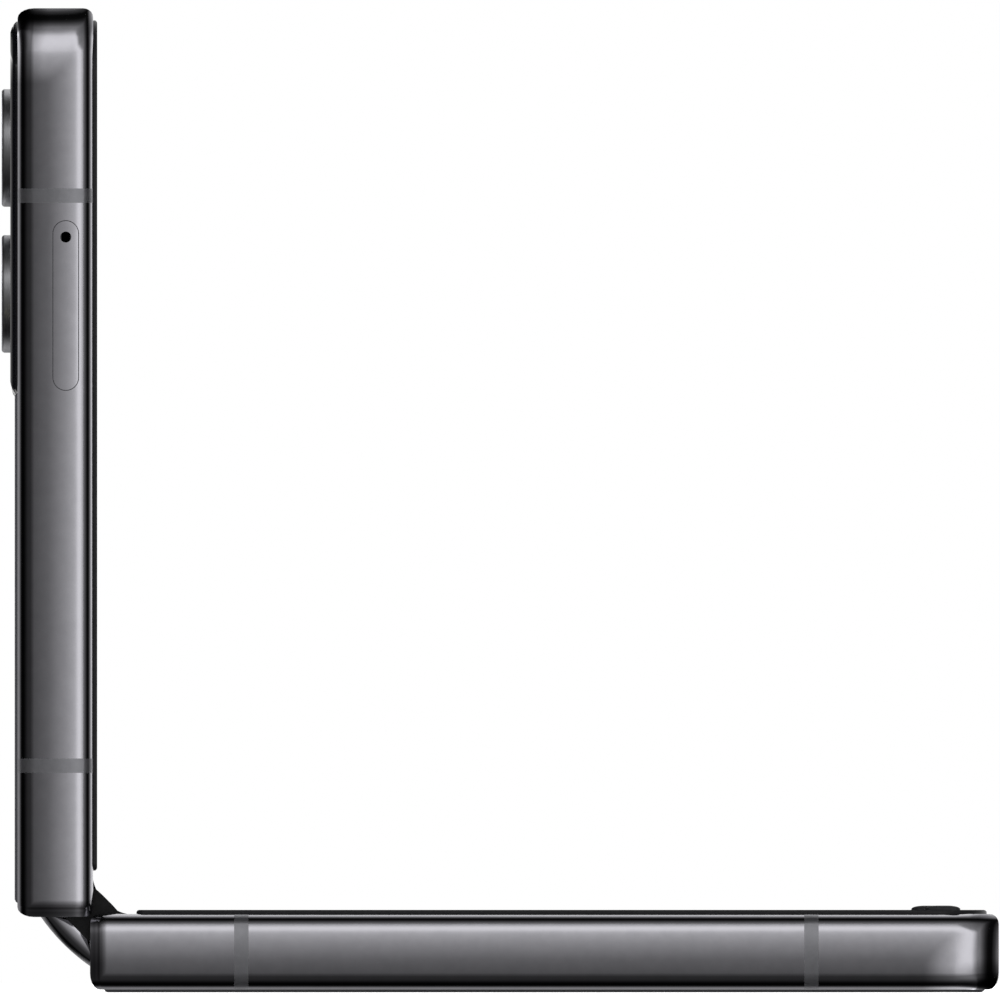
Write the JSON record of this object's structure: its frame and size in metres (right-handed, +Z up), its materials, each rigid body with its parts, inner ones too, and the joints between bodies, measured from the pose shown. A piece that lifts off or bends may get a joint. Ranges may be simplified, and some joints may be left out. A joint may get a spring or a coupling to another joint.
{
  "type": "foldable smartphone",
  "caption": "Clamshell folding smartphone, stood half open at a right angle, with a flexible inner screen over a geared double-axis hinge and a card tray.",
  "frame": {"origin": "centre of the lower half's back glass, on its outer face", "axes": "+X from the hinge towards the lower half's free end, +Y towards the side with the keys, +Z up and out of the lower half's screen, along the upper half at rest"},
  "size_m": [0.0905, 0.0724, 0.0892],
  "materials": {
    "frame_metal": "polished, dark anodised",
    "antenna_plastic": "satin",
    "back_glass": "satin frosted, opaque",
    "window_glass": "gloss, opaque",
    "lens_glass": "gloss, coated",
    "flash_plastic": "gloss",
    "camera_metal": "polished edge",
    "camera_body": "matte",
    "screen": "gloss",
    "rim_plastic": "satin",
    "bumper_rubber": "soft",
    "spine_metal": "polished, dark anodised",
    "cap_plastic": "satin",
    "hinge_steel": "machined",
    "gear_metal": "machined",
    "spring_steel": "drawn wire",
    "sheet_steel": "rolled",
    "screw_steel": "machined",
    "board": "solder resist",
    "battery_wrap": "wrapped foil",
    "connector_steel": "drawn shell",
    "black_plastic": "moulded",
    "copper": "wound wire",
    "flex_film": "film",
    "card_plastic": "moulded",
    "key_metal": "polished, dark anodised"
  },
  "bodies": {
    "lower_half": {"lower_frame": "frame_metal", "lower_antenna_breaks": "antenna_plastic", "lower_back_glass": "back_glass", "lower_battery": "battery_wrap", "lower_board": "board", "usb_port": "connector_steel", "usb_tongue": "black_plastic", "loudspeaker": "black_plastic", "vibration_motor": "connector_steel", "lower_screen_rim": "rim_plastic", "lower_screen": "screen", "screen_bumpers": "bumper_rubber", "lower_wing_plate": "sheet_steel", "lower_rotators": "hinge_steel", "lower_flex": "flex_film", "lower_screws": "screw_steel", "charging_coil": "copper"},
    "upper_half": {"upper_frame": "frame_metal", "upper_antenna_breaks": "antenna_plastic", "upper_back_glass": "back_glass", "camera_window": "window_glass", "cover_display": "screen", "camera_rings": "camera_metal", "camera_lenses": "lens_glass", "camera_modules": "camera_body", "flash_lens": "flash_plastic", "upper_battery": "battery_wrap", "main_board": "board", "earpiece": "black_plastic", "front_camera": "camera_body", "upper_screen_rim": "rim_plastic", "upper_screen": "screen", "upper_wing_plate": "sheet_steel", "upper_rotators": "hinge_steel", "upper_flex": "flex_film", "upper_screws": "screw_steel", "card_socket": "connector_steel", "key_switches": "black_plastic"},
    "spine": {"spine_cover": "spine_metal", "fold_end_caps": "cap_plastic", "hinge_blocks": "hinge_steel", "hinge_springs": "spring_steel", "screen_fold": "screen", "fold_flex": "flex_film"},
    "card_tray": {"sim_tray": "key_metal", "sim_card": "card_plastic"},
    "volume_rocker": {"volume_key": "key_metal"},
    "side_button": {"side_key": "key_metal"},
    "lower_lever_pair": {"lower_levers": "hinge_steel"},
    "upper_lever_pair": {"upper_levers": "hinge_steel"},
    "lower_idler_pair": {"lower_idler_gears": "gear_metal"},
    "upper_idler_pair": {"upper_idler_gears": "gear_metal"}
  },
  "joints": [
    {"name": "hinge_lower", "type": "hinge", "parent": "lower_half", "child": "spine", "pos_m": [-0.03915, 0, 0.00576], "axis": [0, -1, 0], "range_deg": [-45.15, 45], "deforming": ["screen_fold", "fold_flex"]},
    {"name": "hinge_upper", "type": "hinge", "parent": "spine", "child": "upper_half", "pos_m": [-0.04226, 0, 0.00887], "axis": [0, -1, 0], "range_deg": [-45.15, 45]},
    {"name": "lower_lever_turn", "type": "hinge", "parent": "spine", "child": "lower_lever_pair", "pos_m": [-0.04, 0, 0.00576], "axis": [0, -1, 0], "range_deg": [-37, 37]},
    {"name": "upper_lever_turn", "type": "hinge", "parent": "spine", "child": "upper_lever_pair", "pos_m": [-0.04226, 0, 0.00802], "axis": [0, -1, 0], "range_deg": [-37, 37]},
    {"name": "lower_idler_turn", "type": "hinge", "parent": "spine", "child": "lower_idler_pair", "pos_m": [-0.04154, 0, 0.00535], "axis": [0, -1, 0], "range_deg": [-37, 37]},
    {"name": "upper_idler_turn", "type": "hinge", "parent": "spine", "child": "upper_idler_pair", "pos_m": [-0.04268, 0, 0.00648], "axis": [0, -1, 0], "range_deg": [-37, 37]},
    {"name": "card_tray_slide", "type": "slide", "parent": "upper_half", "child": "card_tray", "axis": [0, -1, 0], "range_m": [0, 0.019]},
    {"name": "volume_rock", "type": "hinge", "parent": "upper_half", "child": "volume_rocker", "pos_m": [-0.0434, 0.034, 0.06322], "axis": [1, 0, 0], "range_deg": [-1, 1], "stiffness_Nm_per_rad": 0.25},
    {"name": "side_press", "type": "slide", "parent": "upper_half", "child": "side_button", "axis": [0, -1, 0], "range_m": [0, 0.0002], "stiffness_N_per_m": 2000, "springref_m": -0.0003}
  ],
  "couplings": [
    {"joint": "hinge_upper", "follows": "hinge_lower", "ratio": 1},
    {"joint": "lower_lever_turn", "follows": "hinge_lower", "ratio": -0.8083},
    {"joint": "upper_lever_turn", "follows": "hinge_lower", "ratio": 0.8083},
    {"joint": "lower_idler_turn", "follows": "hinge_lower", "ratio": 0.8083},
    {"joint": "upper_idler_turn", "follows": "hinge_lower", "ratio": -0.8083}
  ]
}
